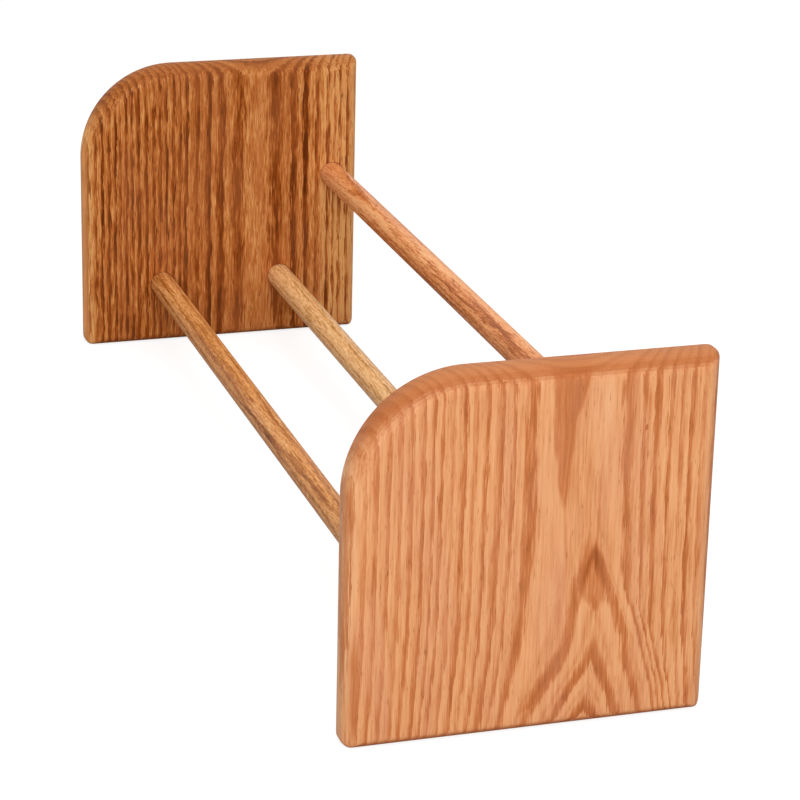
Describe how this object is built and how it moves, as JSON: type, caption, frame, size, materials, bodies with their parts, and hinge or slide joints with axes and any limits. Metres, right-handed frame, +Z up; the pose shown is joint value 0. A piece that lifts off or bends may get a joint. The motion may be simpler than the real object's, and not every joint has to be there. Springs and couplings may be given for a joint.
{
  "type": "disc case rack",
  "caption": "Low oak rack for disc cases: thick end panels with a large round corner at the open front, joined by round dowels that carry and stop the cases.",
  "frame": {"origin": "middle of the rack's base: midway between the end panels, midway from front edge to rear edge, on the surface that it stands on", "axes": "+X along the dowels to the right end seen from the open front, +Y from the open front to the back stop, +Z up"},
  "size_m": [0.628, 0.184, 0.185],
  "materials": {
    "oak_panel": "oiled red oak, satin, grain upright",
    "oak_dowel_red": "oiled red oak, satin, grain along the dowel",
    "oak_dowel_pale": "oiled oak, paler and yellower, satin, grain along the dowel"
  },
  "bodies": {
    "root": {"left_end_panel": "oak_panel", "right_end_panel": "oak_panel", "front_shelf_dowel": "oak_dowel_red", "rear_shelf_dowel": "oak_dowel_pale", "back_stop_dowel": "oak_dowel_red"}
  },
  "joints": []
}
